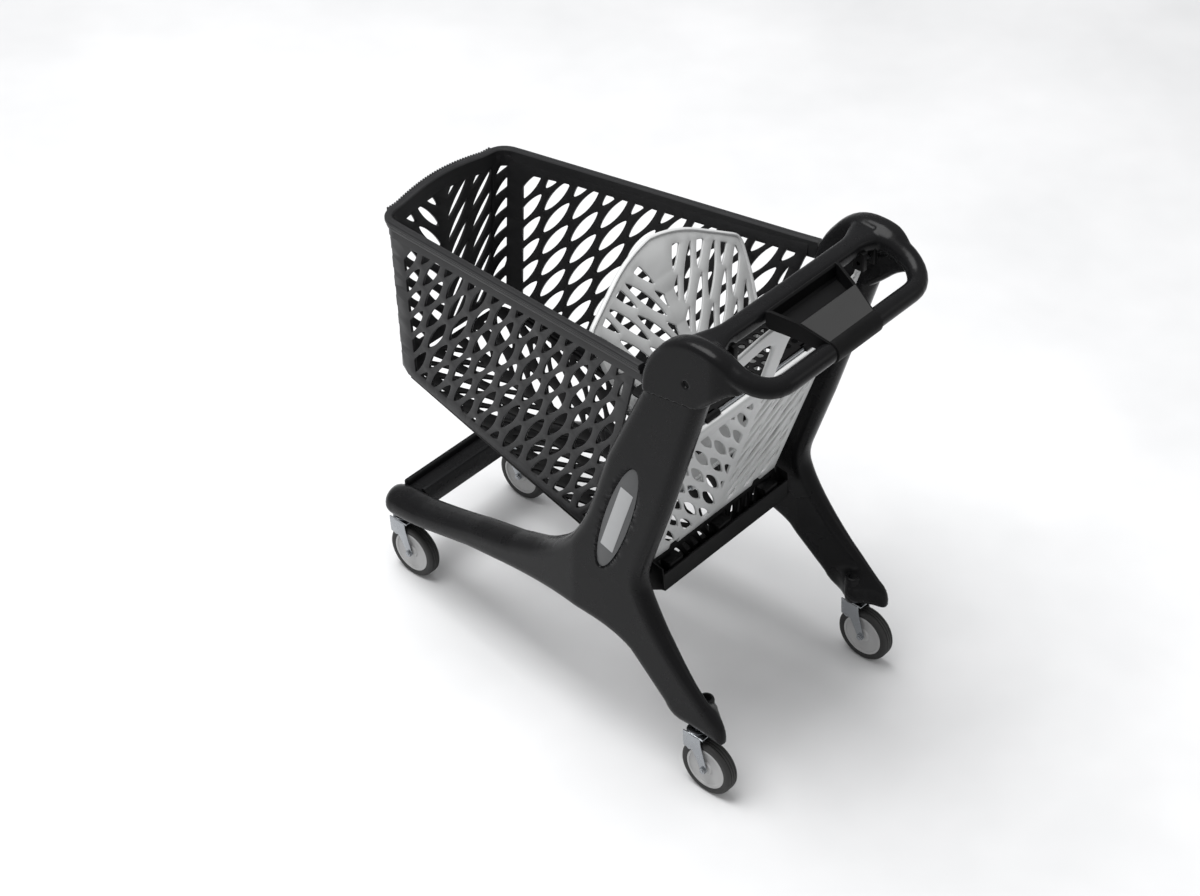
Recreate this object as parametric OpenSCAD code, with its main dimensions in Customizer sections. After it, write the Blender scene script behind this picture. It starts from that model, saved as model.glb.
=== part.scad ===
// Plastic supermarket trolley with a slotted basket, a swinging rear gate, a folding child seat
// and four swivel casters. Millimetres, +Z up, +Y is the way it is pushed, +X to the right.
// Every module is drawn with y = 0 at the rear wheel axle; on_cart() then moves it so that the
// origin lies on the floor under the middle of the whole cart.

/* [Wheels] */
// Diameter of the tyres
wheel_d = 125; // [100:1:130]
// Width of the tyre tread
wheel_w = 30; // [24:1:34]
// Distance between the front and the rear wheel axles
wheelbase = 903; // [880:1:920]
// Half of the track of the rear wheels
rear_track_half = 260; // [258:1:262]
// Half of the track of the front wheels
front_track_half = 176.5; // [170:1:178]
// Distance from a wheel's axle forward to its swivel axis
caster_trail = 34; // [28:1:38]

/* [Frame] */
// Outer face of the posts and rear legs, from the middle plane
post_outer = 280; // [278:1:282]
// Inner face of a post, from the middle plane
post_inner = 232; // [231:1:236]
// Thickness of a rear leg's plate
leg_t = 24; // [18:1:26]
// Radius of the lugs that hold the rear casters
lug_r = 20; // [18:1:20]
// Radius of the front corners, around the front swivel axes
corner_r = 37; // [34:1:38]
// Length of the oval badge recess on a post
badge_l = 305; // [260:5:310]
// Width of the oval badge recess on a post
badge_w = 56; // [40:1:60]

/* [Basket] */
// Thickness of the basket's slotted panels
panel_t = 5; // [4:0.5:6]
// Height of the plain rim band
rim_h = 45; // [35:1:50]
// Thickness of the rim band
rim_t = 12; // [8:1:14]
// Width of a slot
slot_w = 18; // [12:1:20]
// Length of a slot
slot_l = 98; // [80:1:100]

/* [Handle] */
// Radius of the round end of a handle cap
cap_r = 100; // [96:1:101]
// Radius of the rear grip's tube
grip_r = 20; // [17:1:21]

/* [Gate and seat] */
// Angle at which the closed gate leans back
gate_lean = 16.1; // [16:0.1:17]
// Thickness of the gate and seat mouldings
gate_t = 10; // [8:1:11]
// Angle at which the open backrest leans forward
seat_lean = 28; // [27:0.5:29]
// Depth of the child seat's plate
seat_depth = 164; // [150:1:166]

/* [Hidden] */
$fn = 48;

axle_z = wheel_d / 2;
rear_end = 106;
front_end = 974;
origin_y = -(front_end - rear_end) / 2;

// swivel axes and the heights of the caster parts
rear_stem_y = caster_trail;
front_stem_y = wheelbase + caster_trail;
fork_top = 146;
lug_bottom = 150;
stem_r = 6;
stem_top = 186;
axle_r = 4;
running_gap = 0.05;

// outer faces of a fork's cheeks from its middle, the cheeks' steel, and where its crown starts
cheek = wheel_w / 2 + 5;
sheet_t = 3;
crown = 74;
nut_h = 5;
bush_r = 7;
tread_in = 47;

// front cross member: where it starts and how wide it is, and where it meets the side frames
cross_y = 897;
cross_w = 65;
cross_half = front_track_half - corner_r;
badge_depth = 6;
bolt_places = [[250, 640], [205, 800]];

// middle of a basket side and how it is turned
side_mid = [197, 564, 703];
side_taper = 6;
side_draft = 4.6;

// hinge lines, in the y and z of the cart
gate_axis = [39, 1028];
seat_axis = [176, 603];
plate_axis = [112, 824];
pin_r = 4;
rod_r = 3;

// the rear grip's tube, the bends at its ends, and the tray it carries
grip_y = -86;
grip_z = 1022;
grip_bend = 66;
grip_half = 186;
tray_half = 110;
pocket_half = 92;

// screws in the outer faces of the handle caps
screw_place = [71, 993];
screw_r = 3.5;
screw_head_r = 6.5;

// a place in the cart's y and z, as seen on the upright gate
function on_upright_gate(p) = let (y = p[0] - gate_axis[0], z = p[1] - gate_axis[1])
  [y * cos(gate_lean) + z * sin(gate_lean), z * cos(gate_lean) - y * sin(gate_lean)];
seat_on_gate = on_upright_gate(seat_axis);
plate_on_gate = on_upright_gate(plate_axis);
plate_block_x = [-190, -75, 75, 190];
seat_block_x = 150;
seat_barrel_x = 110;

// slots stand in columns, a row apart, and each column starts a little higher
slot_column = 61;
slot_row = 54;
slot_step = 3;

// front panel of the basket
front_y = 943;
front_top = 920;
front_low = 541;

black = "#2b2b2d";
dark = "#1c1c1e";
pale = "#b9bcbf";
zinc = "#aeb4b8";
grey = "#85888b";

// ---- helpers ----

// a quadratic curve from a to c that leans towards b
function bend(a, b, c, steps = 6) =
  [for (i = [0:steps]) let (t = i / steps) a * (1 - t) * (1 - t) + b * 2 * t * (1 - t) + c * t * t];

// moves what is drawn from the rear axle to the cart's own origin
module on_cart() {
  translate([0, origin_y, 0]) children();
}

// extrudes a y-z outline along X
module along_x(x0, x1) {
  translate([x0, 0, 0]) rotate([90, 0, 90]) linear_extrude(x1 - x0) children();
}

module rod_x(x0, x1, r, y, z) {
  translate([x0, y, z]) rotate([0, 90, 0]) cylinder(h = x1 - x0, r = r);
}

module rod_z(r, z0, z1, x, y) {
  translate([x, y, z0]) cylinder(h = z1 - z0, r = r);
}

// the right-hand piece is drawn, and mirrored for the left
module left() {
  mirror([1, 0, 0]) children();
}

// a slot with round ends, lying along x
module slot(length, width) {
  hull_free = length - width;
  square([hull_free, width], center = true);
  for (end = [-1, 1]) translate([end * hull_free / 2, 0]) circle(d = width, $fn = 24);
}

// close rows of slanting slots over a width and a height, centred on the origin
module slot_field(width, height, slant) {
  columns = ceil(width / slot_column / 2) + 1;
  rows = ceil(height / slot_row / 2) + 2;
  for (c = [-columns:columns])
    for (r = [-rows:rows])
      translate([c * slot_column, r * slot_row + c * slot_step]) rotate(slant) slot(slot_l, slot_w);
}

// ---- side frame: post, rear leg and front arm in one moulding ----

module frame_outline() {
  polygon(concat(
    [[180, 927], [265, 730], [306, 592]],
    bend([306, 592], [350, 440], [476, 372]),
    [[663, 298], [854, 226], [937, 212], [980, 205], [980, 158], [937, 156]],
    bend([937, 156], [860, 168], [790, 194]),
    [[680, 230]],
    bend([562, 258], [430, 288], [340, 287]),
    bend([340, 287], [250, 290], [202, 262]),
    [[135, 201], [103, 170], [70, 157], [-37, 156], [-35, 201], [7, 228], [59, 276]],
    bend([59, 276], [150, 368], [176, 425]),
    [[174, 470], [123, 640], [70, 830], [38, 948], [109, 939]]
  ));
}

// the moulding's width, seen from above: thin leg, deep post, and an arm that runs inwards
module frame_plan() {
  polygon([
    [post_outer, -40], [post_outer, 345], [230, 800],
    [front_track_half + corner_r, front_stem_y], [190, 966],
    [cross_half, cross_y + cross_w], [cross_half, cross_y], [150, 854], [188, 551], [202, 415],
    [post_inner, 320], [post_inner, 120], [post_outer - leg_t, 60], [post_outer - leg_t, -40]
  ]);
}

module side_frame() {
  difference() {
    union() {
      intersection() {
        along_x(100, 300) frame_outline();
        translate([0, 0, 100]) linear_extrude(900) frame_plan();
      }
      rod_z(lug_r, lug_bottom, 198, rear_track_half, rear_stem_y);
      rod_z(corner_r, lug_bottom, 208, front_track_half, front_stem_y);
    }
    leg_pocket();
    badge_recess();
    rod_z(stem_r, lug_bottom - 1, stem_top, rear_track_half, rear_stem_y);
    rod_z(12, stem_top - 14, 260, rear_track_half, rear_stem_y);
    rod_z(stem_r, lug_bottom - 1, stem_top, front_track_half, front_stem_y);
    for (p = bolt_places) rod_x(post_inner - 1, post_inner + 30, 3, p[0], p[1]);
    corner_slot();
  }
}

// the leg's plate is hollow on its inner side, around the swivel lug
module leg_pocket() {
  difference() {
    translate([100, -60, 100]) cube([post_outer - leg_t - 100, 190, 160]);
    rod_z(lug_r, lug_bottom, 198, rear_track_half, rear_stem_y);
  }
}

module corner_slot() {
  translate([front_track_half - 6, front_stem_y - 10, 196]) cube([24, 9, 20]);
}

module badge_outline(grow = 0) {
  translate([233, 587]) rotate(107) slot(badge_l + grow, badge_w + grow);
}

module badge_recess() {
  along_x(post_outer - badge_depth, post_outer + 1) badge_outline();
}

module badge() {
  color(grey) along_x(post_outer - badge_depth, post_outer - 2.5) badge_outline(-3);
}

module cross_member() {
  color(black) difference() {
    translate([-cross_half, cross_y, 155]) cube([2 * cross_half, cross_w, 57]);
    translate([-cross_half + 14, cross_y + 14, 198]) cube([2 * cross_half - 28, cross_w - 28, 20]);
    translate([-cross_half - 1, cross_y + 6, 150]) cube([2 * cross_half + 2, cross_w - 12, 30]);
  }
}

module frame_bolts() {
  color(zinc) for (side = [0, 1]) mirror([side, 0, 0]) for (p = bolt_places) {
    rod_x(post_inner - 4, post_inner, 6.5, p[0], p[1]);
    rod_x(post_inner, post_inner + 30, 3, p[0], p[1]);
  }
}

// ---- basket ----

// puts a y-z drawing into the sloping plane of the right-hand basket side
module on_side() {
  translate(side_mid) rotate([0, side_draft, 0]) rotate([0, 0, side_taper]) children();
}

module side_outline() {
  polygon([[-352, 222], [379, 169], [379, -164], [-364, -326], [-348, -268], [-254, -111], [-297, 25]]);
}

module basket_side() {
  color(black) on_side() along_x(-panel_t / 2, panel_t / 2) difference() {
    side_outline();
    intersection() {
      slotted_part();
      slot_field(760, 480, 122);
    }
  }
}

// the slotted part of a side, inside its plain border
module slotted_part() {
  translate([10, -8]) scale(0.94) side_outline();
}

module rim_side() {
  color(black) on_side() {
    along_x(-panel_t / 2, rim_t - panel_t / 2)
      polygon([[-378, 270], [372, 217], [372, 217 - rim_h], [-352, 224]]);
  }
}

module front_outline() {
  polygon([[-172, front_top - rim_h], [172, front_top - rim_h], [150, front_low], [-150, front_low]]);
}

module basket_front() {
  color(black) translate([0, front_y + panel_t, 0]) rotate([90, 0, 0]) linear_extrude(panel_t)
    difference() {
      front_outline();
      for (side = [0, 1]) mirror([side, 0]) intersection() {
        polygon([[12, front_top - rim_h - 8], [144, front_top - rim_h - 8], [126, front_low + 16],
          [12, front_low + 16]]);
        translate([80, 710]) slot_field(170, 360, 58);
      }
    }
}

// floor plate, sloping down from the front panel to the sill
module basket_floor() {
  rear = 212;
  run = front_y - rear;
  drop = front_low - 6 - 381;
  pitch_angle = atan(drop / run);
  color(dark) translate([0, rear, 378]) rotate([pitch_angle, 0, 0]) linear_extrude(panel_t)
    difference() {
      polygon([[-192, 0], [192, 0], [139, run / cos(pitch_angle)], [-139, run / cos(pitch_angle)]]);
      for (side = [0, 1]) mirror([side, 0]) intersection() {
        polygon([[10, 20], [174, 20], [126, run - 12], [10, run - 12]]);
        translate([90, 370]) slot_field(180, 740, 60);
      }
    }
}

module rim_front() {
  color(black) difference() {
    translate([-174, front_y - 6, front_top - rim_h]) cube([348, 18, rim_h]);
    translate([-166, front_y - 7, front_top - rim_h - 1]) cube([332, 7, rim_h + 2]);
  }
}

// toothed bumper strip on the front of the rim
module rim_bumper() {
  teeth = 42;
  span = 330;
  color(dark) {
    translate([-span / 2, front_y + rim_t, front_top - 18]) cube([span, 6, 16]);
    for (i = [0:teeth - 1])
      translate([-span / 2 + (i + 0.25) * span / teeth, front_y + rim_t + 6, front_top - 18])
        cube([span / teeth / 2, 5, 16]);
  }
}

// hollow beam under the gate, open towards the rear
module rear_sill() {
  color(dark) difference() {
    along_x(-196, 196) polygon([[178, 384], [208, 376], [211, 420], [196, 424]]);
    along_x(-190, 190) polygon([[170, 390], [203, 381], [206, 415], [180, 419]]);
  }
}

// ---- handle ----

module cap_outline() {
  polygon(concat(
    [[109, 939.6], [180, 927.6]],
    bend([180, 927.6], [186, 985], [138, 1050]),
    [for (a = [40:10:160]) [50 + cap_r * cos(a), 985 + cap_r * sin(a)]],
    bend([-38, 1004], [0, 996], [38, 948.6])
  ));
}

module grip_corner() {
  translate([grip_half, grip_y + grip_bend, grip_z]) rotate([0, 0, -90])
    rotate_extrude(angle = 90) translate([grip_bend, 0]) circle(r = grip_r);
}

module handle_half() {
  along_x(230, 283) cap_outline();
  grip_corner();
  translate([grip_half + grip_bend, grip_y + grip_bend, grip_z]) rotate([-90, 0, 0])
    cylinder(h = 40, r = grip_r);
  hinge_bracket();
}

// block that carries the gate's hinge pin beside the cap
module hinge_bracket() {
  translate([186, 28, 1016]) cube([14, 22, 36]);
  translate([221, 28, 1016]) cube([10, 22, 36]);
}

module front_bar() {
  along_x(-231, 231) {
    for (y = [36, 68]) translate([y, 1057]) circle(r = 15);
    translate([36, 1042]) square([32, 30]);
  }
}

module handle_unit() {
  color(black) difference() {
    union() {
      handle_half();
      left() handle_half();
      front_bar();
      rod_x(-grip_half, grip_half, grip_r, grip_y, grip_z);
    }
    for (side = [0, 1]) mirror([side, 0, 0]) {
      rod_x(185, 240, pin_r, gate_axis[0], gate_axis[1]);
      rod_x(262, 284, screw_r, screw_place[0], screw_place[1]);
      rod_x(274, 284, screw_head_r, screw_place[0], screw_place[1]);
    }
  }
}

module tray_plan(shrink = 0) {
  polygon([[-102 + shrink, 30], [102 - shrink, 30], [64 - shrink, -92], [-64 + shrink, -92]]);
}

module tray() {
  color(dark) intersection() {
    difference() {
      along_x(-tray_half, tray_half)
        polygon([[21, 1078], [-25, 1067], [-67, 1045], [-72, 1037], [-60, 1030], [-20, 1038], [20, 1045]]);
      along_x(-pocket_half, pocket_half) polygon([[14, 1090], [-24, 1090], [-24, 1052], [14, 1060]]);
    }
    translate([0, 0, 1000]) linear_extrude(100) tray_plan();
  }
}

module tray_lid() {
  color(black) intersection() {
    along_x(-tray_half, tray_half)
      polygon([[-25, 1067.3], [-25, 1070], [-94, 1044], [-93, 1041.5], [-67, 1045.4]]);
    translate([0, 0, 1000]) linear_extrude(100) tray_plan(2);
  }
}

module cap_screws() {
  color(zinc) for (side = [0, 1]) mirror([side, 0, 0]) {
    rod_x(262, 274, screw_r, screw_place[0], screw_place[1]);
    rod_x(274, 277, screw_head_r, screw_place[0], screw_place[1]);
  }
}

module hinge_pins() {
  color(zinc) for (side = [0, 1]) mirror([side, 0, 0])
    rod_x(186, 238, pin_r, gate_axis[0], gate_axis[1]);
}

// ---- gate and child seat ----

// the gate is drawn upright about its hinge line, then leaned back
module on_gate() {
  translate([0, gate_axis[0], gate_axis[1]]) rotate([gate_lean, 0, 0]) children();
}

module upright(thickness) {
  translate([0, thickness / 2, 0]) rotate([90, 0, 0]) linear_extrude(thickness) children();
}

module gate_panel_outline() {
  polygon([[-214, -214], [214, -214], [188, -620], [-188, -620]]);
}

module gate_panel() {
  color(pale) on_gate() difference() {
    union() {
      upright(6) difference() {
        gate_panel_outline();
        for (side = [0, 1]) mirror([side, 0]) intersection() {
          polygon([[16, -238], [196, -238], [172, -600], [16, -600]]);
          translate([100, -420]) slot_field(200, 380, 122);
        }
      }
      translate([-214, -6, -222]) cube([428, 12, 8]);
      for (side = [-1, 1]) hinge_block(side * seat_block_x, 30, seat_on_gate, 8, 15);
      for (x = plate_block_x) hinge_block(x, 10, plate_on_gate, 5, 5);
    }
    for (side = [-1, 1])
      rod_x(side * seat_block_x - 16, side * seat_block_x + 16, pin_r, seat_on_gate[0],
        seat_on_gate[1]);
    for (x = plate_block_x) rod_x(x - 6, x + 6, rod_r, plate_on_gate[0], plate_on_gate[1]);
  }
}

// block on the gate's front face that carries a hinge line at a place on the gate
module hinge_block(x, width, place, front, half_height) {
  translate([x - width / 2, 0, place[1] - half_height]) cube([width, place[0] + front, 2 * half_height]);
}

module gate_hanger() {
  color(pale) on_gate() difference() {
    union() {
      upright(gate_t) {
        polygon([[-25, -213.6], [25, -213.6], [25, -60], [-25, -60]]);
        for (side = [0, 1]) mirror([side, 0])
          polygon([[0, -19], [0, -73], [25, -72], [70, -76], [180, -100], [219, -104], [219, 0],
            [202, 0], [202, -46], [180, -46], [60, -24]]);
      }
      for (side = [0, 1]) mirror([side, 0, 0]) rod_x(202, 219, 10, 0, 0);
    }
    for (side = [0, 1]) mirror([side, 0, 0]) rod_x(190, 222, pin_r + running_gap, 0, 0);
  }
}

module on_seat() {
  translate([0, seat_axis[0], seat_axis[1]]) rotate([-seat_lean, 0, 0]) children();
}

module seat_back_outline() {
  polygon(concat(
    [[-130, 14], [130, 14], [196, 190], [218, 340]],
    [for (a = [43:-5.375:-43]) [316 * sin(a), 149 + 316 * cos(a)]],
    [[-218, 340], [-196, 190]]
  ));
}

module seat_back() {
  color(pale) on_seat() difference() {
    union() {
      upright(5) difference() {
        seat_back_outline();
        for (side = [0, 1]) mirror([side, 0]) intersection() {
          polygon([[14, 60], [120, 60], [176, 200], [196, 330], [150, 400], [14, 444]]);
          translate([100, 250]) slot_field(200, 420, 58);
        }
      }
      for (side = [-1, 1]) {
        rod_x(side * seat_barrel_x - 16, side * seat_barrel_x + 16, 7.5, 0, 0);
        translate([side * seat_barrel_x - 16, -2.5, 0]) cube([32, 5, 30]);
      }
    }
    for (side = [-1, 1])
      rod_x(side * seat_barrel_x - 20, side * seat_barrel_x + 20, pin_r + running_gap, 0, 0);
  }
}

module seat_back_pins() {
  color(zinc) for (side = [-1, 1])
    rod_x(min(side * 92, side * 165), max(side * 92, side * 165), pin_r, seat_axis[0], seat_axis[1]);
}

module seat_plate() {
  color(dark) difference() {
    union() {
      translate([-204, plate_axis[0] + 9, plate_axis[1] - 2]) cube([408, seat_depth - 9, 4]);
      for (x = [-150, 0, 150]) {
        rod_x(x - 20, x + 20, 7, plate_axis[0], plate_axis[1]);
        translate([x - 20, plate_axis[0], plate_axis[1] - 2]) cube([40, 10, 4]);
      }
    }
    rod_x(-205, 205, rod_r + running_gap, plate_axis[0], plate_axis[1]);
    for (c = [-4:4])
      for (r = [0:2])
        rod_z(14 - 3 * abs(r - 1), 800, 850, c * 42, plate_axis[0] + 40 + r * 44);
  }
}

module seat_plate_rod() {
  color(zinc) rod_x(-208, 208, rod_r, plate_axis[0], plate_axis[1]);
}

// ---- casters ----

function caster_x(i) = (i % 2 == 0 ? -1 : 1) * (i < 2 ? front_track_half : rear_track_half);
function caster_y(i) = i < 2 ? wheelbase : 0;

module at_wheel(i) {
  translate([caster_x(i), caster_y(i), axle_z]) children();
}

module caster_stems() {
  color(zinc) for (i = [0:3])
    rod_z(stem_r, fork_top - 14, stem_top, caster_x(i), caster_y(i) + caster_trail);
}

module stem_nuts() {
  color(zinc) for (i = [2, 3]) translate([caster_x(i), caster_y(i) + caster_trail, stem_top - 14])
    difference() {
      cylinder(h = 9, r = 10, $fn = 6);
      translate([0, 0, -1]) cylinder(h = 11, r = stem_r);
    }
}

// pressed steel fork: two pointed cheeks, a curved front and a round swivel head
module fork(i) {
  color(zinc) at_wheel(i) difference() {
    union() {
      for (side = [-1, 1]) translate([side * cheek - (side > 0 ? sheet_t : 0), 0, 0])
        along_x(0, sheet_t)
          polygon([[-9, -6], [0, -10], [9, -6], [26, 40], [54, 40], [56, 78], [6, 78], [-6, 10]]);
      translate([-cheek, 4, crown]) cube([2 * cheek, 52, 4]);
      translate([-cheek, 52, 41]) cube([2 * cheek, 4, crown - 37]);
      translate([0, caster_trail, crown]) cylinder(h = fork_top - axle_z - crown, r = 19);
    }
    translate([0, caster_trail, 60]) cylinder(h = 40, r = stem_r + running_gap);
    rod_x(-40, 40, axle_r, 0, 0);
  }
}

module axle_bolt(i) {
  color(zinc) at_wheel(i) {
    rod_x(-cheek - 6, cheek + 6, axle_r, 0, 0);
    for (side = [-1, 1]) translate([side * (cheek + nut_h / 2) - nut_h / 2, 0, 0]) rotate([0, 90, 0])
      cylinder(h = nut_h, r = 7.5, $fn = 6);
  }
}

module bush(i) {
  color(grey) at_wheel(i) rotate([0, 90, 0]) difference() {
    cylinder(h = wheel_w + 2, r = bush_r, center = true);
    cylinder(h = wheel_w + 6, r = axle_r + running_gap, center = true);
  }
}

module wheel(i) {
  color(grey) at_wheel(i) rotate([0, 90, 0]) difference() {
    cylinder(h = wheel_w - 2, r = tread_in, center = true);
    cylinder(h = wheel_w + 6, r = bush_r, center = true);
    for (side = [0, 1]) mirror([0, 0, side]) translate([0, 0, wheel_w / 2 - 3]) difference() {
      cylinder(h = 4, r = 41);
      translate([0, 0, -1]) cylinder(h = 6, r = 14);
    }
  }
}

module tyre(i) {
  color(dark) at_wheel(i) rotate([0, 90, 0]) rotate_extrude($fn = 96) difference() {
    polygon([[tread_in, -14], [52, -15], [58, -15], [axle_z, -11], [axle_z, 11], [58, 15], [52, 15],
      [tread_in, 14]]);
    for (z = [-6, 0, 6]) translate([axle_z - 2, z - 0.9]) square([3, 1.8]);
  }
}

// ---- sub-parts in their places ----

module side_frame_left() { color(black) on_cart() left() side_frame(); }
module side_frame_right() { color(black) on_cart() side_frame(); }

side_frame_left();
side_frame_right();
on_cart() cross_member();  // front_cross_member
on_cart() frame_bolts();
on_cart() left() badge();  // badge_left
on_cart() badge();  // badge_right
on_cart() left() basket_side();  // basket_side_left
on_cart() basket_side();  // basket_side_right
on_cart() basket_front();
on_cart() basket_floor();
on_cart() left() rim_side();  // rim_left
on_cart() rim_side();  // rim_right
on_cart() rim_front();
on_cart() rim_bumper();
on_cart() rear_sill();
on_cart() handle_unit();
on_cart() tray();
on_cart() tray_lid();
on_cart() cap_screws();
on_cart() hinge_pins();
on_cart() caster_stems();
on_cart() stem_nuts();
on_cart() gate_panel();
on_cart() gate_hanger();
on_cart() seat_back();
on_cart() seat_back_pins();
on_cart() seat_plate();
on_cart() seat_plate_rod();
on_cart() fork(0);  // fork_front_left
on_cart() fork(1);  // fork_front_right
on_cart() fork(2);  // fork_rear_left
on_cart() fork(3);  // fork_rear_right
on_cart() axle_bolt(0);  // axle_bolt_front_left
on_cart() axle_bolt(1);  // axle_bolt_front_right
on_cart() axle_bolt(2);  // axle_bolt_rear_left
on_cart() axle_bolt(3);  // axle_bolt_rear_right
on_cart() wheel(0);  // wheel_front_left
on_cart() wheel(1);  // wheel_front_right
on_cart() wheel(2);  // wheel_rear_left
on_cart() wheel(3);  // wheel_rear_right
on_cart() tyre(0);  // tyre_front_left
on_cart() tyre(1);  // tyre_front_right
on_cart() tyre(2);  // tyre_rear_left
on_cart() tyre(3);  // tyre_rear_right
on_cart() bush(0);  // bush_front_left
on_cart() bush(1);  // bush_front_right
on_cart() bush(2);  // bush_rear_left
on_cart() bush(3);  // bush_rear_right
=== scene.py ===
import math

import bmesh
import bpy
import numpy as np
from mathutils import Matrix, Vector, geometry


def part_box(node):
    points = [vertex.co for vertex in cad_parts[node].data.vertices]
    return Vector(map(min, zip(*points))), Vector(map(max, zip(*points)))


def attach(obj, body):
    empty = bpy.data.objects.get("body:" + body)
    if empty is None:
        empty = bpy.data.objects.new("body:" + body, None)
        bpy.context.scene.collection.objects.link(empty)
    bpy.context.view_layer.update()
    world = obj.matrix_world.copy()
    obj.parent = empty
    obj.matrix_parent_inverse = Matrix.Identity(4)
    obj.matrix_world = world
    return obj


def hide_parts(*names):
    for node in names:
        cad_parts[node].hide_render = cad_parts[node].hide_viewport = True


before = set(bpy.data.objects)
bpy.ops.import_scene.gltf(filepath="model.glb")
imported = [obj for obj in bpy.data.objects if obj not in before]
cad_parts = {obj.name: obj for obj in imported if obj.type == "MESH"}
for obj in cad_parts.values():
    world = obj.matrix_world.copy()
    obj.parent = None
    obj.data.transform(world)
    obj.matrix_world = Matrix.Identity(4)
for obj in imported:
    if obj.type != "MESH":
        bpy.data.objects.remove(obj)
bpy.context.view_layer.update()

# Every shape below is drawn in millimetres: x to the right, y forward from the rear axle, z up.
MM = 0.001
tyre_low, tyre_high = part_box("tyre_rear_left")
AXLE_Y = (tyre_low.y + tyre_high.y) / 2
AXLE_Z = (tyre_low.z + tyre_high.z) / 2 / MM
REAR_X = abs(tyre_low.x + tyre_high.x) / 2 / MM
front_tyre_low, front_tyre_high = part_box("tyre_front_left")
FRONT_X = abs(front_tyre_low.x + front_tyre_high.x) / 2 / MM
WHEELBASE = ((front_tyre_low.y + front_tyre_high.y) / 2 - AXLE_Y) / MM
TRAIL = 34  # from a wheel's axle forward to the axis it swivels about


# ---------------------------------------------------------------- finishes

def linear(hex_colour):
    """An sRGB hex colour as linear RGBA."""
    parts = [int(hex_colour[i:i + 2], 16) / 255 for i in (1, 3, 5)]
    return [c / 12.92 if c <= 0.04045 else ((c + 0.055) / 1.055) ** 2.4 for c in parts] + [1]


def add(tree, kind, inputs=None, **settings):
    """A node with its settings; an input is a value, or the output socket to link it to."""
    node = tree.nodes.new(kind)
    for name, value in settings.items():
        setattr(node, name, value)
    for name, value in (inputs or {}).items():
        if isinstance(value, bpy.types.NodeSocket):
            tree.links.new(value, node.inputs[name])
        else:
            node.inputs[name].default_value = value
    return node


def finish(name, colour, worn, roughness, rough_spread, grain_mm, grain_depth_mm,
           metallic=0.0, ior=1.5, cloud_mm=60, edge_highlight=0.0, specular=0.5):
    """A moulded or plated surface: slow drifts of tone, a fine grain, and a painted highlight that
    makes its sharp edges paler.
    """
    made = bpy.data.materials.new(name)
    made.use_nodes = True
    tree = made.node_tree
    tree.nodes.clear()
    place = add(tree, "ShaderNodeTexCoord").outputs["Object"]
    cloud = add(tree, "ShaderNodeTexNoise",
                {"Vector": place, "Scale": 1 / (cloud_mm * MM), "Detail": 4.0, "Roughness": 0.6})
    grain = add(tree, "ShaderNodeTexNoise",
                {"Vector": place, "Scale": 1 / (grain_mm * MM), "Detail": 2.0, "Roughness": 0.5})
    shade = add(tree, "ShaderNodeMix",
                {"Factor": cloud.outputs["Fac"], 6: linear(colour), 7: linear(worn)},
                data_type="RGBA")
    tone = shade.outputs[2]
    # Painted highlight: where pointiness marks a convex edge, the colour is mixed towards a paler
    # grey.
    if edge_highlight:
        corner = add(tree, "ShaderNodeNewGeometry").outputs["Pointiness"]
        edge_highlight_mask = add(tree, "ShaderNodeMapRange",
                  {"Value": corner, "From Min": 0.52, "From Max": 0.62, "To Min": 0.0,
                   "To Max": edge_highlight})
        highlighted_tone = add(tree, "ShaderNodeMix",
                     {"Factor": edge_highlight_mask.outputs["Result"], 6: tone, 7: linear("#6a6b6d")},
                     data_type="RGBA")
        tone = highlighted_tone.outputs[2]
    rough = add(tree, "ShaderNodeMapRange",
                {"Value": cloud.outputs["Fac"], "From Min": 0.3, "From Max": 0.7,
                 "To Min": roughness - rough_spread, "To Max": roughness + rough_spread})
    bump = add(tree, "ShaderNodeBump",
               {"Strength": 0.35, "Distance": grain_depth_mm * MM,
                "Height": grain.outputs["Fac"]})
    shader = add(tree, "ShaderNodeBsdfPrincipled",
                 {"Base Color": tone, "Roughness": rough.outputs["Result"],
                  "Metallic": metallic, "IOR": ior, "Specular IOR Level": specular,
                  "Normal": bump.outputs["Normal"]})
    add(tree, "ShaderNodeOutputMaterial", {"Surface": shader.outputs["BSDF"]})
    return made


# Spark-textured polypropylene, moulded: a deep neutral black with a soft, even sheen and a faint
# painted highlight on its edges.
black_plastic = finish("moulded_black_polypropylene", "#0f0f10", "#141415", 0.27, 0.04, 1.2,
                       0.10, cloud_mm=90, edge_highlight=0.05, specular=0.11)
# The basket is the same plastic, a little greyer, with a stronger painted highlight on the edges of
# its thin ribs.
basket_plastic = finish("moulded_basket_polypropylene", "#19191a", "#202021", 0.40, 0.05, 1.4,
                        0.10, cloud_mm=70, edge_highlight=0.08, specular=0.2)
# Unpolished moulded polypropylene of the parts that nobody touches.
dark_plastic = finish("plain_dark_polypropylene", "#090909", "#0e0e0f", 0.50, 0.05, 1.6, 0.12,
                      cloud_mm=60, specular=0.1)
# Tray lid: smooth satin plastic, a step greyer than the grip around it.
lid_plastic = finish("satin_graphite_plastic", "#272727", "#2b2b2b", 0.34, 0.03, 0.9, 0.04,
                     cloud_mm=80)
# Gate and backrest: light-grey polypropylene, slightly mottled by handling.
pale_plastic = finish("moulded_light_grey_polypropylene", "#b3b4b4", "#bebfbf", 0.40, 0.05,
                      1.3, 0.08, cloud_mm=80)
# Badge insert: satin grey plastic.
badge_plastic = finish("satin_grey_badge_plastic", "#3e3f40", "#474849", 0.34, 0.03, 0.8, 0.03,
                       cloud_mm=40)
# The label's plain pale face, printed on smooth film.
label_film = finish("plain_pale_label_film", "#a2a3a4", "#acadae", 0.30, 0.02, 0.8, 0.01,
                    cloud_mm=30)
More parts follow.
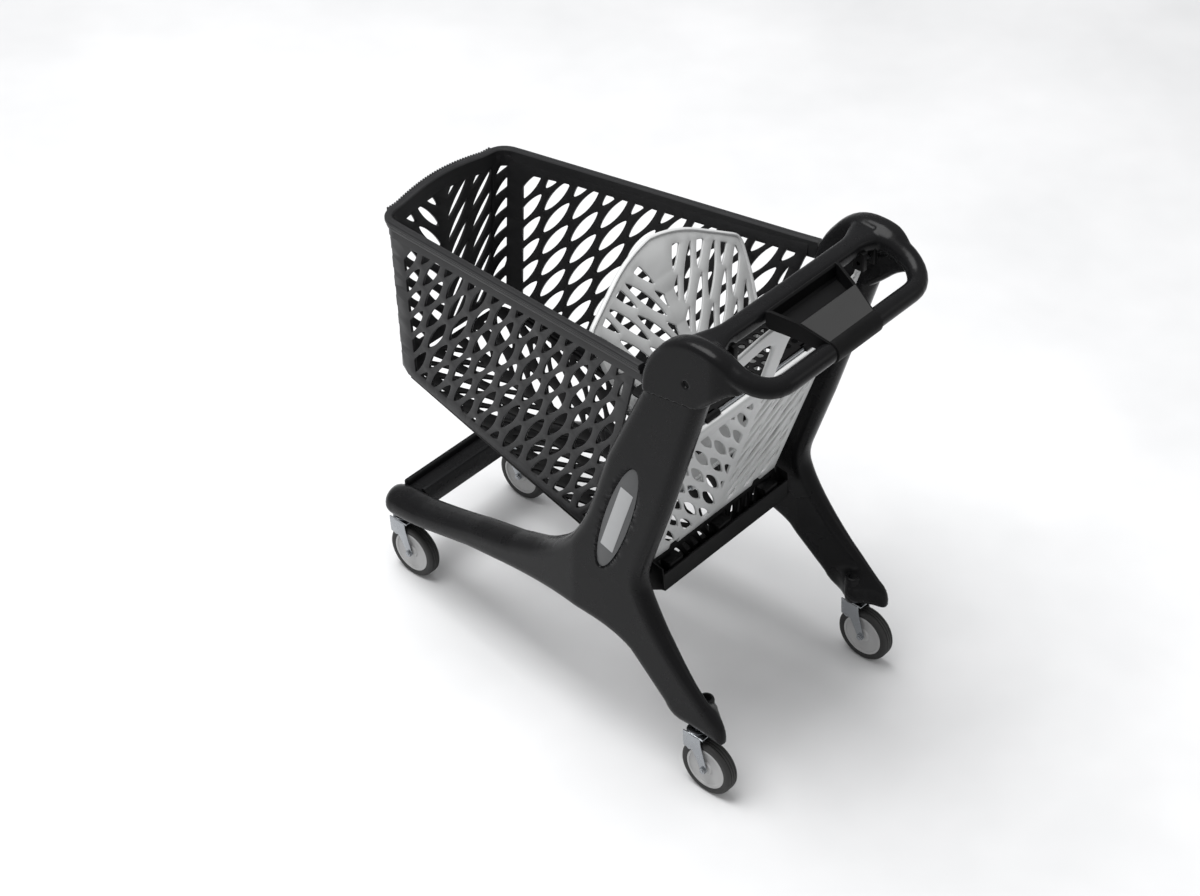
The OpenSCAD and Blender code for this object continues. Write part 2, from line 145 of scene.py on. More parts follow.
# Wheel discs: glass-filled grey nylon.
wheel_nylon = finish("moulded_grey_nylon", "#a3a3a3", "#b0b0b0", 0.42, 0.05, 0.9, 0.05,
                     cloud_mm=25)
# Bright zinc plating on pressed steel.
zinc_steel = finish("bright_zinc_plated_steel", "#a3a6a9", "#999ca0", 0.26, 0.03, 2.0, 0.01,
                    metallic=1.0, cloud_mm=30)
# Thermoplastic rubber of the treads, dusty from rolling.
tyre_rubber = finish("black_thermoplastic_rubber", "#191919", "#242423", 0.62, 0.06, 0.8, 0.10,
                     cloud_mm=16)


# ---------------------------------------------------------------- outlines

def bend(a, b, c, steps=8):
    """A curve from a to c that leans towards b."""
    a, b, c = map(np.array, (a, b, c))
    return [tuple(a * (1 - t) ** 2 + b * 2 * t * (1 - t) + c * t * t)
            for t in np.linspace(0, 1, steps + 1)]


def rounded(points, radius, steps=5):
    """The outline with each corner cut to a curve that starts radius away, or less."""
    made = []
    for i, here in enumerate(points):
        here = np.array(here, float)
        before = np.array(points[i - 1], float) - here
        after = np.array(points[(i + 1) % len(points)], float) - here
        cut_a = min(radius, 0.48 * np.linalg.norm(before))
        cut_b = min(radius, 0.48 * np.linalg.norm(after))
        start = here + before / np.linalg.norm(before) * cut_a
        end = here + after / np.linalg.norm(after) * cut_b
        made += bend(start, here, end, steps)
    return made


def dense(points, step, closed=True):
    """The same outline with no edge longer than step, and no point twice."""
    made = []
    count = len(points)
    for i in range(count if closed else count - 1):
        a = np.array(points[i], float)
        b = np.array(points[(i + 1) % count], float)
        length = np.linalg.norm(b - a)
        if length < 0.05:
            continue
        parts = max(1, math.ceil(length / step))
        made += [tuple(a + (b - a) * k / parts) for k in range(parts)]
    if not closed:
        made.append(tuple(points[-1]))
    return made


def area(loop):
    """The area inside a loop, below zero where it runs clockwise."""
    loop = np.array(loop)
    after = np.roll(loop, -1, axis=0)
    return 0.5 * float(np.sum(loop[:, 0] * after[:, 1] - after[:, 0] * loop[:, 1]))


def turned(loop, way):
    """The loop running anticlockwise for way 1, clockwise for way -1."""
    return list(loop) if area(loop) * way > 0 else list(loop)[::-1]


def clip(loop, a, b):
    """The part of a loop on the left of the line from a to b."""
    a, b = np.array(a, float), np.array(b, float)
    across = np.array([-(b - a)[1], (b - a)[0]])
    made = []
    for i, p in enumerate(loop):
        q = loop[(i + 1) % len(loop)]
        p, q = np.array(p, float), np.array(q, float)
        side_p, side_q = (p - a) @ across, (q - a) @ across
        if side_p >= 0:
            made.append(tuple(p))
        if side_p * side_q < 0:
            made.append(tuple(p + (q - p) * side_p / (side_p - side_q)))
    return made


def inside(points, loop):
    """For each point, whether it lies inside the loop."""
    points, loop = np.atleast_2d(points), np.array(loop)
    x, y = points[:, 0][:, None], points[:, 1][:, None]
    x0, y0 = loop[:, 0][None], loop[:, 1][None]
    x1, y1 = np.roll(loop[:, 0], -1)[None], np.roll(loop[:, 1], -1)[None]
    rise = np.where(y1 == y0, 1e-12, y1 - y0)
    hit = ((y0 > y) != (y1 > y)) & (x < (x1 - x0) * (y - y0) / rise + x0)
    return hit.sum(1) % 2 == 1


def reach(points, starts, ends):
    """For each point, how far it is from the nearest of the segments."""
    points, starts, ends = map(np.atleast_2d, (points, starts, ends))
    run = ends - starts
    size = np.maximum((run ** 2).sum(1), 1e-12)
    best = np.full(len(points), 1e9)
    for s, r, n in zip(starts, run, size):
        t = np.clip(((points - s) @ r) / n, 0, 1)
        best = np.minimum(best, np.linalg.norm(points - s - t[:, None] * r, axis=1))
    return best


def shifted(loop, by):
    """The loop moved by a distance to the left of its running direction."""
    loop = np.array(loop, float)
    before = loop - np.roll(loop, 1, axis=0)
    after = np.roll(loop, -1, axis=0) - loop
    for way in (before, after):
        way /= np.maximum(np.linalg.norm(way, axis=1, keepdims=True), 1e-9)
    left_a = np.stack([-before[:, 1], before[:, 0]], 1)
    left_b = np.stack([-after[:, 1], after[:, 0]], 1)
    middle = left_a + left_b
    grow = np.maximum((middle * left_a).sum(1, keepdims=True), 0.7)
    return loop + middle / grow * by


def lens(centre, length, width, way, steps=7):
    """A pointed slot: two arcs between blunt tips, its long axis along way."""
    way = np.array(way, float) / np.linalg.norm(way)
    side = np.array([-way[1], way[0]])
    made = []
    for s in (1, -1):
        for t in np.linspace(-1, 1, steps * 2 + 1)[:-1]:
            swell = (1 - t * t) * 0.9 + 0.1 * (1 - abs(t) ** 8)
            made.append(tuple(np.array(centre) + way * s * t * length / 2
                              + side * s * -swell * width / 2))
    return made


def lattice(start, along, across, reach_a, reach_b):
    """Places on a slanting grid around start, so many steps each way."""
    return [(start[0] + i * along[0] + j * across[0], start[1] + i * along[1] + j * across[1])
            for j in range(-reach_b, reach_b + 1) for i in range(-reach_a, reach_a + 1)]


def slots(centres, length, width, way, borders, smallest=70):
    """Pointed slots on a lattice, each cut straight where it meets a border line."""
    made = []
    for centre in centres:
        loop = lens(centre, length, width, way)
        for a, b in borders:
            loop = clip(loop, a, b)
            if len(loop) < 3:
                break
        if len(loop) > 2 and abs(area(loop)) > smallest:
            loop = dense(loop, 14)
            made.append(rounded_sharp(loop))
    return made


def rounded_sharp(loop, cut=2.5):
    """The loop with only its sharp corners eased, as a mould does."""
    made = []
    for i, p in enumerate(loop):
        p = np.array(p)
        a = np.array(loop[i - 1]) - p
        b = np.array(loop[(i + 1) % len(loop)]) - p
        na, nb = np.linalg.norm(a), np.linalg.norm(b)
        if na < 0.3 or nb < 0.3:
            continue
        if a @ b / (na * nb) > -0.85:
            made.append(tuple(p + a / na * min(cut, na * 0.4)))
            made.append(tuple(p + b / nb * min(cut, nb * 0.4)))
        else:
            made.append(tuple(p))
    return made


def with_mirror(loops):
    """The loops, and the same loops mirrored across the middle."""
    return loops + [[(-u, v) for u, v in loop] for loop in loops]


def whole_outline(half):
    """A symmetric outline from its right half, which starts and ends on the middle."""
    return half + [(-u, v) for u, v in half[-2:0:-1]]


# ---------------------------------------------------------------- solids

def filled(loops, inner=()):
    """Triangles between an outline and its holes, over their own points and some inner ones."""
    points, edges = [], []
    for loop in loops:
        first = len(points)
        points += [Vector(p) for p in loop]
        edges += [(first + i, first + (i + 1) % len(loop)) for i in range(len(loop))]
    points += [Vector(p) for p in inner]
    flat, _, faces, origin, _, _ = geometry.delaunay_2d_cdt(points, edges, [], 1, 1e-4)
    flat = np.array([p[:] for p in flat])
    faces = [f for f in faces if len(f) == 3]
    middles = np.array([flat[list(f)].mean(0) for f in faces])
    keep = inside(middles, loops[0])
    for hole in loops[1:]:
        keep &= ~inside(middles, hole)
    return flat, [f for f, k in zip(faces, keep) if k], origin


def pierced(outline, holes, thickness, place, ease=1.3, grid=60):
    """A moulded sheet with slots: place(u, v, w) sets it in space, w across the thickness."""
    loops = [turned(dense(outline, 30), 1)] + [turned(h, -1) for h in holes]
    half = thickness / 2
    rings = [(ease, half), (ease * 0.3, half - ease * 0.3), (0, half - ease),
             (0, ease - half), (ease * 0.3, ease * 0.3 - half), (ease, -half)]
    verts, faces, starts = [], [], []
    for loop in loops:
        starts.append(len(verts))
        for inset, w in rings:
            verts += [(u, v, w) for u, v in shifted(loop, inset)]
        n = len(loop)
        for r in range(len(rings) - 1):
            a, b = starts[-1] + r * n, starts[-1] + (r + 1) * n
            faces += [(a + i, a + (i + 1) % n, b + (i + 1) % n, b + i) for i in range(n)]
    eased = [[tuple(p) for p in shifted(loop, ease)] for loop in loops]
    low, high = np.array(outline).min(0), np.array(outline).max(0)
    net = np.array([(u, v) for u in np.arange(low[0], high[0], grid)
                    for v in np.arange(low[1], high[1], grid)])
    keep = inside(net, eased[0])
    for hole in eased[1:]:
        keep &= ~inside(net, hole)
    net = net[keep]
    if len(net):
        ends = np.concatenate([np.roll(np.array(e), -1, axis=0) for e in eased])
        net = net[reach(net, np.concatenate([np.array(e) for e in eased]), ends) > 6]
    flat, triangles, origin = filled(eased, net)
    known = []
    for loop, start in zip(loops, starts):
        known += [start + i for i in range(len(loop))]
    back_shift = []
    for loop in loops:
        back_shift += [(len(rings) - 1) * len(loop)] * len(loop)
    front, back = {}, {}
    for i, source in enumerate(origin):
        source = [s for s in source if s < len(known)]
        if source:
            front[i], back[i] = known[source[0]], known[source[0]] + back_shift[source[0]]
        else:
            front[i], back[i] = len(verts), len(verts) + 1
            verts += [(flat[i][0], flat[i][1], half), (flat[i][0], flat[i][1], -half)]
    faces += [tuple(front[i] for i in f) for f in triangles]
    faces += [tuple(back[i] for i in f[::-1]) for f in triangles]
    return [place(*v) for v in verts], faces


def moulding(outline, front, back, ease, place, grid=9, square=(), more=(), power=2.0):
    """A solid moulding between two skins over an outline, its edges rounded by ease.
    front(points) and back(points) give how far each skin stands; square are the outline's
    straight ends, as pairs of points, that are cut square and not rounded."""
    loop = turned(dense(outline, grid), 1)
    ends = np.array(loop)
    starts, finishes = ends, np.roll(ends, -1, axis=0)
    middles = (starts + finishes) / 2
    soft = np.ones(len(loop), bool)
    for a, b in square:
        soft &= reach(middles, [a], [b]) > 0.5
    starts, finishes = starts[soft], finishes[soft]
    low, high = ends.min(0), ends.max(0)
    net = [(u + (grid / 2 if k % 2 else 0), v)
           for k, v in enumerate(np.arange(low[1], high[1], grid * 0.87))
           for u in np.arange(low[0], high[0], grid)]
    net = np.array(net)
    net = net[inside(net, loop)]
    net = net[reach(net, ends, np.roll(ends, -1, axis=0)) > max(ease * 0.95, grid * 0.4)]
    rings = []
    for share in (0.03, 0.12, 0.27, 0.47, 0.72, 1.0):
        ring = shifted(loop, ease * share)
        gap = reach(ring, starts, finishes)
        whole = reach(ring, ends, np.roll(ends, -1, axis=0))
        ring = ring[(gap > ease * share * 0.9) & inside(ring, loop) & (whole > ease * share * 0.5)]
        rings.append(ring)
    extra = np.array([p for p in more if inside([p], loop)[0]]).reshape(-1, 2)
    inner = np.concatenate([net, extra] + rings)
    flat, triangles, origin = filled([loop], inner)
    gap = np.clip(reach(flat, starts, finishes) / ease, 0, 1)
    swell = (1 - (1 - gap) ** power) ** (1 / power)
    near, far = front(flat), back(flat)
    middle, half = (near + far) / 2, (near - far) / 2
    verts = [place(u, v, m + h * s) for (u, v), m, h, s in zip(flat, middle, half, swell)]
    verts += [place(u, v, m - h * s) for (u, v), m, h, s in zip(flat, middle, half, swell)]
    count = len(flat)
    faces = [tuple(f) for f in triangles] + [tuple(i + count for i in f[::-1]) for f in triangles]
    border = {}
    for i, source in enumerate(origin):
        for s in source:
            if s < len(loop):
                border[s] = i
    for i in range(len(loop)):
        if i in border and (i + 1) % len(loop) in border:
            a, b = border[i], border[(i + 1) % len(loop)]
            faces.append((b, a, a + count, b + count))
    return verts, faces


def tube(path, section, closed=False, caps=True, up=(0, 0, 1)):
    """Sweeps a section, or one section for each point of the path, along the path."""
    path = np.array(path, float)
    count = len(path)
    sections = section if isinstance(section[0][0], (list, tuple, np.ndarray)) else [section] * count
    size = len(sections[0])
    verts, faces = [], []
    side_before = None
    for i, p in enumerate(path):
        a = path[(i - 1) % count] if closed or i else p
        b = path[(i + 1) % count] if closed or i < count - 1 else p
        way = (b - a) / np.linalg.norm(b - a)
        side = np.cross(way, up)
        if np.linalg.norm(side) < 0.05:
            side = side_before if side_before is not None else np.cross(way, (1, 0, 0))
        side /= np.linalg.norm(side)
        side_before = side
        top = np.cross(side, way)
        verts += [tuple(p + side * u + top * v) for u, v in sections[i]]
    for i in range(count if closed else count - 1):
        a, b = i * size, (i + 1) % count * size
        faces += [(a + k, a + (k + 1) % size, b + (k + 1) % size, b + k) for k in range(size)]
    if caps and not closed:
        faces.append(tuple(range(size))[::-1])
        faces.append(tuple(range((count - 1) * size, count * size)))
    return verts, faces


def oval(wide, high, count=20, power=2.0):
    """A section from a circle or ellipse (power 2) to a rounded box (a higher power)."""
    made = []
    for k in range(count):
        angle = 2 * math.pi * k / count
        c, s = math.cos(angle), math.sin(angle)
        made.append((math.copysign(abs(c) ** (2 / power), c) * wide / 2,
                     math.copysign(abs(s) ** (2 / power), s) * high / 2))
    return made


def lathe(profile, centre, count=64):
    """Turns a closed (x, radius) profile around an axle through centre."""
    verts, faces = [], []
    size = len(profile)
    for k in range(count):
        angle = 2 * math.pi * k / count
        verts += [(centre[0] + x, centre[1] + r * math.cos(angle), centre[2] + r * math.sin(angle))
                  for x, r in profile]
    for k in range(count):
        a, b = k * size, (k + 1) % count * size
        faces += [(a + i, b + i, b + (i + 1) % size, a + (i + 1) % size) for i in range(size)]
    return verts, faces


def upright_lathe(profile, x, y, count):
    """Turns a closed (radius, z) profile around an upright line through (x, y)."""
    verts, faces = lathe([(z, r) for r, z in profile], (0, 0, 0), count)
    return [(x + a, y + b, z) for z, a, b in verts], faces


def slab(outline, low, high, place, ease=0.8):
    """A plain plate over an outline, with eased edges."""
    return pierced(outline, [], high - low, lambda u, v, w: place(u, v, w + (low + high) / 2),
                   ease, grid=1e6)


def block(low, high, ease=1.5):
    """A moulded block between two corners, with eased edges."""
    outline = rounded([(low[0], low[1]), (high[0], low[1]), (high[0], high[1]),
                       (low[0], high[1])], ease, 3)
    return slab(outline, low[2], high[2], lambda u, v, w: (u, v, w), min(ease, 1.2))


def together(*solids):
    """Several solids as one."""
    verts, faces = [], []
    for more_verts, more_faces in solids:
        first = len(verts)
        verts += list(more_verts)
        faces += [tuple(i + first for i in f) for f in more_faces]
    return verts, faces


def mirrored(solid):
    """The same solid on the other side of the middle plane."""
    verts, faces = solid
    return [(-x, y, z) for x, y, z in verts], [tuple(f[::-1]) for f in faces]


def both_sides(solid):
    """A solid and its mirror image as one."""
    return together(solid, mirrored(solid))


# The right side is drawn; the left is its mirror image.
SIDES = (("right", lambda solid: solid), ("left", mirrored))


def make_mesh(name, solid):
    """A mesh in metres, with doubled points joined and its faces turned outwards."""
    verts, faces = solid
    mesh = bpy.data.meshes.new(name)
    mesh.from_pydata([(x * MM, y * MM + AXLE_Y, z * MM) for x, y, z in verts], [], faces)
    form = bmesh.new()
    form.from_mesh(mesh)
    bmesh.ops.remove_doubles(form, verts=form.verts, dist=0.00002)
    bmesh.ops.dissolve_degenerate(form, edges=form.edges, dist=0.00001)
    bmesh.ops.recalc_face_normals(form, faces=form.faces)
    form.to_mesh(mesh)
    form.free()
    return mesh


def settle(made):
    """Applies the modifiers of an object."""
    skin = bpy.data.meshes.new_from_object(
        made.evaluated_get(bpy.context.evaluated_depsgraph_get()))
    made.modifiers.clear()
    made.data = skin


def soft_share(x, y, z):
    """How freely the handle's skin may settle: not at all at the seams with the posts."""
    if abs(x) < 222 or y < 28:
        return 1.0
    return float(np.clip((z - seam_height(y) - 8) / 10, 0, 1))


def seam_height(y):
    """Height of the seam between a post and the handle's cap."""
    return np.interp(y, [38, 109, 180], [948, 939.6, 927.6])


def piece(name, solid, material, body, stands_for, sharp=38, blend_mm=0, soften=0):
    """Makes a shown piece that rides on a CAD body and stands for some of its nodes."""
    made = bpy.data.objects.new(name, make_mesh(name, solid))
    bpy.context.scene.collection.objects.link(made)
    if blend_mm:
        remesh = made.modifiers.new("one skin", "REMESH")
        remesh.mode, remesh.voxel_size, remesh.adaptivity = "VOXEL", blend_mm * MM, 0.0
        settle(made)
        free = made.vertex_groups.new(name="free")
        for point in made.data.vertices:
            x, y, z = point.co / MM
            free.add([point.index], soft_share(x, y - AXLE_Y / MM, z), "REPLACE")
        smooth = made.modifiers.new("soft joins", "SMOOTH")
        smooth.factor, smooth.iterations, smooth.vertex_group = 0.5, soften, "free"
        settle(made)
    made.data.materials.clear()
    made.data.materials.append(material)
    made.data.shade_smooth()
    if sharp:
        made.data.set_sharp_from_angle(angle=math.radians(sharp))
    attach(made, body)
    if stands_for:
        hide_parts(*stands_for)
    return made


# ---------------------------------------------------------------- side frames

POST_OUT, POST_IN = 280, 232
# The badge's middle in (y, z), the tilt of its long axis, its half-length, half-width and depth.
BADGE_AT, BADGE_TURN, BADGE_LONG, BADGE_WIDE, BADGE_DEPTH = np.array([233, 587]), 107, 152, 31, 6
BADGE_WAY = np.array([math.cos(math.radians(BADGE_TURN)), math.sin(math.radians(BADGE_TURN))])
BADGE_ACROSS = np.array([-BADGE_WAY[1], BADGE_WAY[0]])
FRONT_STEM_Y = WHEELBASE + TRAIL
CORNER_R = 37  # the front arm's end, seen from above
seam = [(180, 927), (109, 939), (38, 948)]

frame_outline = (
    [(180, 927), (265, 730)] + bend((306, 592), (350, 440), (476, 372), 12)
    + [(551, 336)] + bend((663, 298), (760, 258), (854, 228), 5)
    + bend((900, 218), (974, 210), (974, 190), 5) + bend((974, 172), (974, 157), (937, 156), 5)
    + bend((937, 156), (860, 168), (790, 194), 5) + [(680, 230)]
    + bend((562, 258), (430, 288), (340, 287)) + bend((340, 287), (250, 290), (202, 262))
    + [(135, 201)] + bend((112, 180), (98, 155), (70, 151), 4)
    + bend((-20, 149), (-40, 147), (-42, 158), 5) + bend((-42, 158), (-43, 184), (-28, 200), 4)
    + [(7, 228)]
    + bend((59, 276), (150, 368), (174, 432), 8) + bend((174, 432), (180, 452), (172, 480), 4)
    + [(123, 640), (70, 830), (38, 948), (109, 939)]
)


def smooth_step(x, low, high):
    """0 below low, 1 above high, and a smooth rise between."""
    t = np.clip((x - low) / (high - low), 0, 1)
    return t * t * (3 - 2 * t)


def badge_gap(p):
    """About how far each point is outside the badge's oval."""
    off = p - BADGE_AT
    along, across = off @ BADGE_WAY, off @ BADGE_ACROSS
    share = np.hypot(along / BADGE_LONG, across / BADGE_WIDE) + 1e-6
    slope = np.hypot(along / BADGE_LONG ** 2, across / BADGE_WIDE ** 2) / share + 1e-6
    return (share - 1) / slope


def frame_outer(p):
    """How far out the frame's outer face stands; the arm turns round the front caster's stem."""
    y, z = p[:, 0], p[:, 1]
    flat = np.interp(y, [-60, 345, 800, 937], [POST_OUT, POST_OUT, 230, FRONT_X + CORNER_R])
    turn = FRONT_X + np.sqrt(np.clip(CORNER_R ** 2 - (y - FRONT_STEM_Y) ** 2, 4, None))
    out = np.where(y > FRONT_STEM_Y, np.minimum(turn, flat), flat)
    # the badge's oval is sunk into the outer face
    return out - BADGE_DEPTH * (1 - smooth_step(badge_gap(p), -1.5, 1.5))


def frame_inner(p):
    """How far out the inner face stands; it comes in further around the rear caster's stem."""
    y, z = p[:, 0], p[:, 1]
    low = np.interp(y, [-60, 40, 110, 180, 320, 415, 476, 551, 663, 854, 937, 980],
                    [256, 252, 240, 232, 232, 206, 198, 188, 174, 148, 139, 139])
    low = low - 30 * np.exp(-((y - 26) / 34) ** 2) * (1 - smooth_step(z, 194, 226))
    high = np.interp(y, [-60, 320, 415], [POST_IN, POST_IN, 206])
    share = smooth_step(z, 330, 430)
    return low * (1 - share) + high * share


def badge_oval(grow, count=72):
    """The badge's oval, grown or shrunk by some millimetres."""
    return [tuple(BADGE_AT + BADGE_WAY * (BADGE_LONG + grow) * math.cos(2 * math.pi * k / count)
                  + BADGE_ACROSS * (BADGE_WIDE + grow) * math.sin(2 * math.pi * k / count))
            for k in range(count)]


badge_rings = sum((badge_oval(grow) for grow in (-4, -1.6, -0.5, 0.5, 1.8, 4)), [])


def lug(x, y, radius, low, high):
    """A round boss with a recessed hole in its top."""
    hole = 10
    profile = [(hole, low), (radius - 8, low), (radius - 4, low + 3), (radius - 1, low + 14),
               (radius, low + 26), (radius, high - 6), (radius - 1.5, high - 1.5),
               (radius - 5, high), (hole + 1, high), (hole, high - 1.5), (hole, high - 24),
               (6, high - 24), (6, low)]
    return upright_lathe(profile, x, y, 40)


def on_yz(u, v, w):
    """A place on an upright plane along the cart."""
    return w, u, v


side_frame = together(
    moulding(frame_outline, frame_outer, frame_inner, 24, on_yz, grid=9, power=2.4,
             square=[(seam[0], seam[1]), (seam[1], seam[2])], more=badge_rings),
    lug(REAR_X - 20, TRAIL - 4, 17, 149, 216),
)
for side, turn in SIDES:
    piece(f"side_frame_moulding_{side}", turn(side_frame), black_plastic, "chassis",
          [f"side_frame_{side}"], sharp=50)

# Cross member between the two front corners, with a sunken channel along its top.
half_span = 142
member = [(897, 162), (901, 156), (958, 156), (962, 162), (962, 204), (958, 210), (951, 210),
          (948, 206), (947, 197), (912, 197), (911, 206), (908, 210), (901, 210), (897, 204)]
cross = tube([(x, 0, 0) for x in np.linspace(-half_span, half_span, 14)],
             [(-y, z) for y, z in member])
piece("cross_member_moulding", cross, black_plastic, "chassis", ["front_cross_member"])

# Badge inserts: a grey oval with a plain pale label, standing a little below the frame's face.


def label_outline(length, width, offset):
    centre = BADGE_AT + BADGE_WAY * offset
    return rounded([tuple(centre + BADGE_WAY * a * length / 2 + BADGE_ACROSS * b * width / 2)
                    for a, b in ((-1, -1), (1, -1), (1, 1), (-1, 1))], 2)


badge_plate = slab(badge_oval(-1.8), 273, 277.2, on_yz, 0.8)
label_plate = slab(label_outline(176, 32, -4), 277, 277.9, on_yz, 0.3)
for side, turn in SIDES:
    piece(f"badge_insert_{side}", turn(badge_plate), badge_plastic, "chassis",
          [f"badge_{side}"])
    piece(f"badge_label_{side}", turn(label_plate), label_film, "chassis", [])


# ---------------------------------------------------------------- basket

# Where the basket starts at the rim and at its floor, where its front wall stands, and the
# radius of the turn between side and front.
RIM_REAR_Y, FLOOR_REAR_Y, FRONT_Y, FRONT_CORNER = 174.6, 195, 943, 34
SIDE_T = 7
CORNER_START = FRONT_Y - FRONT_CORNER
CORNER_END = CORNER_START + FRONT_CORNER * math.pi / 2


def rim_line(y):
    """Height of the rim's top at a distance along the basket."""
    return 975.8 - (y - RIM_REAR_Y) * 0.07315


def rim_half(y):
    """Half-width of the basket at the rim."""
    return 262.4 - (y - RIM_REAR_Y) * 0.11742


def bottom_line(y):
    """Height of the side wall's lower edge."""
    return 377 + (y - FLOOR_REAR_Y) * 0.21658


def side_x(y, z):
    """Half-width of the basket's twisted side sheet."""
    low = 194 - (y - FLOOR_REAR_Y) * 0.04813
    share = (z - bottom_line(y)) / (rim_line(y) - bottom_line(y))
    return low + (rim_half(y) - low) * share


def on_side(u, v, w):
    """A place on the side sheet, which turns round the basket's front corner at its end."""
    if u <= CORNER_START:
        return side_x(u, v) + w, u, v
    turn = (u - CORNER_START) / FRONT_CORNER
    centre = side_x(CORNER_START, v) - FRONT_CORNER
    r = FRONT_CORNER + w
    return centre + r * math.cos(turn), CORNER_START + r * math.sin(turn), v


side_outline = ([(206, 940), (212, 925), (272, 728)] + bend((303, 610), (312, 585), (300, 560), 4)
                + [(222, 440), (200, 380), (210, 378)] + [(560, bottom_line(560))]
                + [(CORNER_START, bottom_line(CORNER_START)), (935, 538), (CORNER_END, 540),
                   (CORNER_END, 906), (CORNER_START, 906), (560, rim_line(560) - 10),
                   (206, rim_line(206) - 12)])
top_border = ((700, rim_line(700) - 37), (200, rim_line(200) - 35))
top_front_border = ((940, rim_line(940) - 55), (700, rim_line(700) - 37))
low_border = ((190, bottom_line(190) + 28), (940, bottom_line(940) + 26))
front_border = ((884, 500), (887, 920))
REAR_BEND_Z = 600  # about the height where the wall's rear edge turns back
upper_rear = ((230, 940), (326, REAR_BEND_Z))
lower_rear = ((326, REAR_BEND_Z), (238, 435))
SLOT_WAY = (68.5, -100)
side_slots = []
for c in lattice((658, 809), (1.5, -54), (71, -5.5), 12, 9):
    rear = upper_rear if c[1] > REAR_BEND_Z else lower_rear
    side_slots += slots([c], 121, 21, SLOT_WAY,
                        [top_border, top_front_border, low_border, front_border, rear])
# the front wall's slots run on round the corner
side_slots += slots(lattice((CORNER_END - 40, 845), (2.5, -51.5), (69, 4), 9, 2), 108, 15,
                    (-0.62, 0.8),
                    [((CORNER_END - 36, 920), (CORNER_END - 36, 500)),
                     ((CORNER_END - 5, 500), (CORNER_END - 5, 920)),
                     ((2000, 885), (0, 885)), ((0, 566), (2000, 566))])
basket_side = pierced(side_outline, side_slots, SIDE_T, on_side)
for side, turn in SIDES:
    piece(f"basket_wall_{side}", turn(basket_side), basket_plastic, "chassis",
          [f"basket_side_{side}"])


def bow(x):
    """How far the front wall stands forward of its corners."""
    return 11 * max(0, 1 - (x / 140) ** 2) ** 1.5


def on_front(u, v, w):
    """A place on the front wall, which bows forward towards its top."""
    return u, FRONT_Y + bow(u) * smooth_step(v, 520, 900) + w, v


front_outline = [(-141, 906), (-124, 540), (124, 540), (141, 906)]
front_half = slots(lattice((43, 849), (-2.5, -51.5), (69, -4), 9, 3), 108, 15, (0.62, 0.8),
                   [((10, 500), (10, 920))[::-1], ((-200, 893), (200, 893))[::-1],
                    ((121, 500), (137, 920)), ((-200, 566), (200, 566))])
basket_front = pierced(front_outline, with_mirror(front_half), SIDE_T, on_front)
piece("basket_wall_front", basket_front, basket_plastic, "chassis", ["basket_front"])


def on_floor(u, v, w):
    """A place on the basket's rising floor."""
    return u, v, 372 + (v - 196) * 0.2166 + w


floor_outline = [(-190, 204), (190, 204), (153, 906), (147, 922), (132, 936), (-132, 936),
                 (-147, 922), (-153, 906)]
floor_half = slots(lattice((92, 560), (0, -52), (66, 0), 9, 2), 104, 19, (0.5, 0.87),
                   [((12, 960), (12, 190)), ((176, 200), (140, 940)),
                    ((-200, 232), (200, 232)), ((200, 922), (-200, 922))])
basket_floor = pierced(floor_outline, with_mirror(floor_half), 6, on_floor)
floor_edges = both_sides(tube(
    [on_floor(x, y, 0) for x, y in ((189, 204), (171, 570), (152, 908))], oval(7, 20, 12, 4)))
piece("basket_floor_grid", together(basket_floor, floor_edges), dark_plastic, "chassis",
      ["basket_floor"])

# The rolled rim runs along both sides and round the bowed front in one piece.
rim_path = [(rim_half(RIM_REAR_Y), 186, rim_line(186))]
rim_path += [(rim_half(y), y, rim_line(y)) for y in np.linspace(250, CORNER_START - 18, 9)]
for t in np.linspace(0, 84, 8):
    x, y, _ = on_side(CORNER_START + FRONT_CORNER * math.radians(t), 910, 0)
    rim_path.append((x, y, rim_line(min(y, 925))))
for x in np.linspace(122, 0, 9):
    rim_path.append((x, FRONT_Y + bow(x), rim_line(925) + 8 * (1 - (x / 139) ** 2) ** 1.5))
rim_path = rim_path + [(-x, y, z) for x, y, z in rim_path[-2::-1]]
rim_section = [(-5, -24), (-5, -3), (-3, -0.8), (0, 0), (7, 0), (10, -1), (11.5, -3.5),
               (11.5, -9), (10.2, -11), (8.4, -12), (8.4, -19), (7, -21.5), (4, -22.5),
               (4, -42), (-3, -42)]
rim = tube(rim_path, rim_section)
piece("rolled_rim", rim, basket_plastic, "chassis", ["rim_left", "rim_right", "rim_front"],
      sharp=30)

# Teeth along the outside of the front rim.
teeth = []
TEETH, TEETH_HALF = 43, 148
for k in range(TEETH):
    x = -TEETH_HALF + k * 2 * TEETH_HALF / (TEETH - 1)
    y = 944 + bow(x) + 8
    z = 921 + 9 * (1 - min(1, abs(x) / 125) ** 2)
    teeth.append(block((x - 1.9, y, z - 19), (x + 1.9, y + 6.5, z - 1), 0.9))
piece("rim_teeth", together(*teeth), basket_plastic, "chassis", ["rim_bumper"])

# Rear sill: a slotted band below the gate over a hollow ledge.


def on_sill(u, v, w):
    """A place on the sill's sloping band."""
    return u, 196 + (v - 377) * 0.33 + w, v


